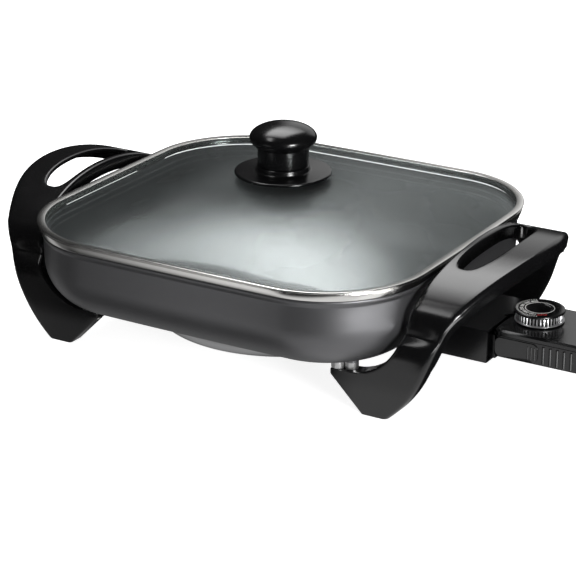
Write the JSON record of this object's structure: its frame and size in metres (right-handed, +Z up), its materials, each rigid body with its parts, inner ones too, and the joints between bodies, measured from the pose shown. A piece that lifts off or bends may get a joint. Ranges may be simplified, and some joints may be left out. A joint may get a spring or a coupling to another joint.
{
  "type": "electric skillet",
  "caption": "Rounded-square electric frying pan on moulded black handle-legs, with a domed glass lid that lifts off and a plug-in temperature control with a dial.",
  "frame": {"origin": "on the pan's vertical centre line at the level of the table that the feet stand on", "axes": "+X points along the pan's length to the plug-in control, -Y is the front, +Z is up"},
  "size_m": [0.465, 0.2852, 0.158],
  "materials": {
    "nonstick": "satin dark grey non-stick coating on cast aluminium",
    "black_plastic": "glossy moulded black phenolic",
    "steel_band": "polished stainless steel",
    "lid_glass": "clear tempered glass",
    "sheet": "bright rolled sheet",
    "element": "heat-darkened steel tube",
    "ceramic": "unglazed ceramic",
    "brass": "bare contact metal",
    "screw_steel": "zinc-plated steel",
    "seal": "matt silicone",
    "bimetal": "rolled bimetal strip",
    "lens": "clear red lens",
    "silver_plastic": "silver-coloured moulded plastic",
    "chrome": "bright plated steel"
  },
  "bodies": {
    "base": {"pan": "nonstick", "heating_element": "element", "terminal_bushes": "ceramic", "terminal_pin_front": "chrome", "terminal_pin_rear": "chrome", "reflector_plate": "sheet", "reflector_washer": "screw_steel", "reflector_screw": "screw_steel", "terminal_guard": "black_plastic", "guard_screws": "screw_steel", "handle_left": "black_plastic", "handle_right": "black_plastic", "handle_screws": "screw_steel"},
    "lid": {"lid_glass": "lid_glass", "lid_rim": "steel_band", "knob_seal": "seal", "knob_base": "black_plastic", "knob_cap": "black_plastic", "knob_washer": "screw_steel", "knob_screw": "screw_steel"},
    "control": {"control_case_bottom": "black_plastic", "control_case_top": "black_plastic", "case_screws": "screw_steel", "thermostat_frame": "screw_steel", "bimetal_leaf": "bimetal", "probe_rod": "chrome", "contact_sleeve_front": "brass", "contact_sleeve_rear": "brass", "indicator_lens": "lens", "cord_gland": "black_plastic"},
    "dial": {"dial_cap": "black_plastic", "dial_skirt": "silver_plastic", "dial_shaft": "screw_steel"}
  },
  "joints": [
    {"name": "lid_lift", "type": "slide", "parent": "base", "child": "lid", "axis": [0, 0, 1], "range_m": [0, 0.12]},
    {"name": "probe_pull", "type": "slide", "parent": "base", "child": "control", "axis": [1, 0, 0], "range_m": [0, 0.1]},
    {"name": "dial_turn", "type": "hinge", "parent": "control", "child": "dial", "pos_m": [0.202, 0, 0.05], "axis": [0, 0, 1], "range_deg": [0, 270]}
  ]
}
